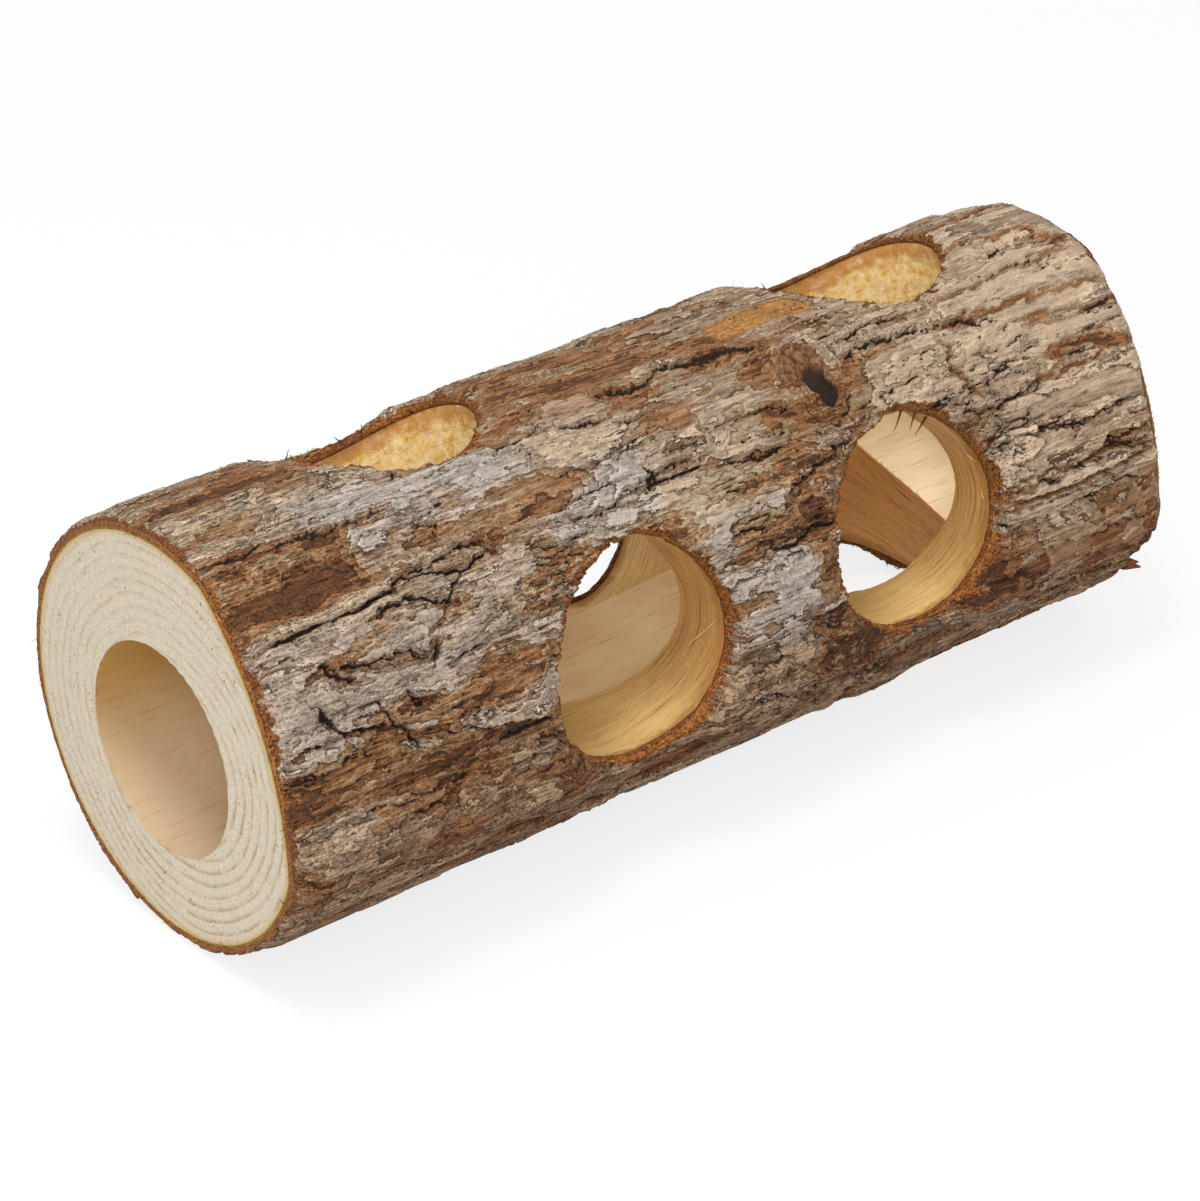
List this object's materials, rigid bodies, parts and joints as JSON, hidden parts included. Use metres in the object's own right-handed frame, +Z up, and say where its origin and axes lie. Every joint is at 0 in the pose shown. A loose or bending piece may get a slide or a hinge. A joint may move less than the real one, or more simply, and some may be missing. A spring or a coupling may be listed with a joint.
{
  "type": "bark hamster tunnel",
  "caption": "Short natural log with rough scaly bark, bored through lengthwise and drilled from the sides as a run and hide for a small pet.",
  "frame": {"origin": "on the ground under the middle of the log", "axes": "+X along the log away from the end nearest the picture, -Y out of the front with its two holes, +Z up"},
  "size_m": [0.2, 0.0775, 0.0769],
  "materials": {
    "sapwood": "matte",
    "inner_bark": "matte",
    "outer_bark": "matte",
    "dead_knot": "matte"
  },
  "bodies": {
    "root": {"wood_core": "sapwood", "inner_bark": "inner_bark", "knot_stub": "dead_knot", "knot_collar": "outer_bark", "bark_front_1": "outer_bark", "bark_front_2": "outer_bark", "bark_front_3": "outer_bark", "bark_front_4": "outer_bark", "bark_front_upper_1": "outer_bark", "bark_front_upper_2": "outer_bark", "bark_front_upper_3": "outer_bark", "bark_front_upper_4": "outer_bark", "bark_shoulder_1": "outer_bark", "bark_shoulder_2": "outer_bark", "bark_shoulder_3": "outer_bark", "bark_shoulder_4": "outer_bark", "bark_crown_front_1": "outer_bark", "bark_crown_front_2": "outer_bark", "bark_crown_front_3": "outer_bark", "bark_crown_front_4": "outer_bark", "bark_crown_1": "outer_bark", "bark_crown_2": "outer_bark", "bark_crown_3": "outer_bark", "bark_crown_4": "outer_bark", "bark_crown_back_1": "outer_bark", "bark_crown_back_2": "outer_bark", "bark_crown_back_3": "outer_bark", "bark_crown_back_4": "outer_bark", "bark_back_upper_1": "outer_bark", "bark_back_upper_2": "outer_bark", "bark_back_upper_3": "outer_bark", "bark_back_upper_4": "outer_bark", "bark_back_1": "outer_bark", "bark_back_2": "outer_bark", "bark_back_3": "outer_bark", "bark_back_4": "outer_bark", "bark_back_lower_1": "outer_bark", "bark_back_lower_2": "outer_bark", "bark_back_lower_3": "outer_bark", "bark_back_lower_4": "outer_bark", "bark_keel_back_1": "outer_bark", "bark_keel_back_2": "outer_bark", "bark_keel_back_3": "outer_bark", "bark_keel_back_4": "outer_bark", "bark_keel_1": "outer_bark", "bark_keel_2": "outer_bark", "bark_keel_3": "outer_bark", "bark_keel_4": "outer_bark", "bark_keel_front_1": "outer_bark", "bark_keel_front_2": "outer_bark", "bark_keel_front_3": "outer_bark", "bark_belly_1": "outer_bark", "bark_belly_2": "outer_bark", "bark_belly_3": "outer_bark", "bark_front_lower_1": "outer_bark", "bark_front_lower_2": "outer_bark", "bark_front_lower_3": "outer_bark", "bark_front_lower_4": "outer_bark"}
  },
  "joints": []
}
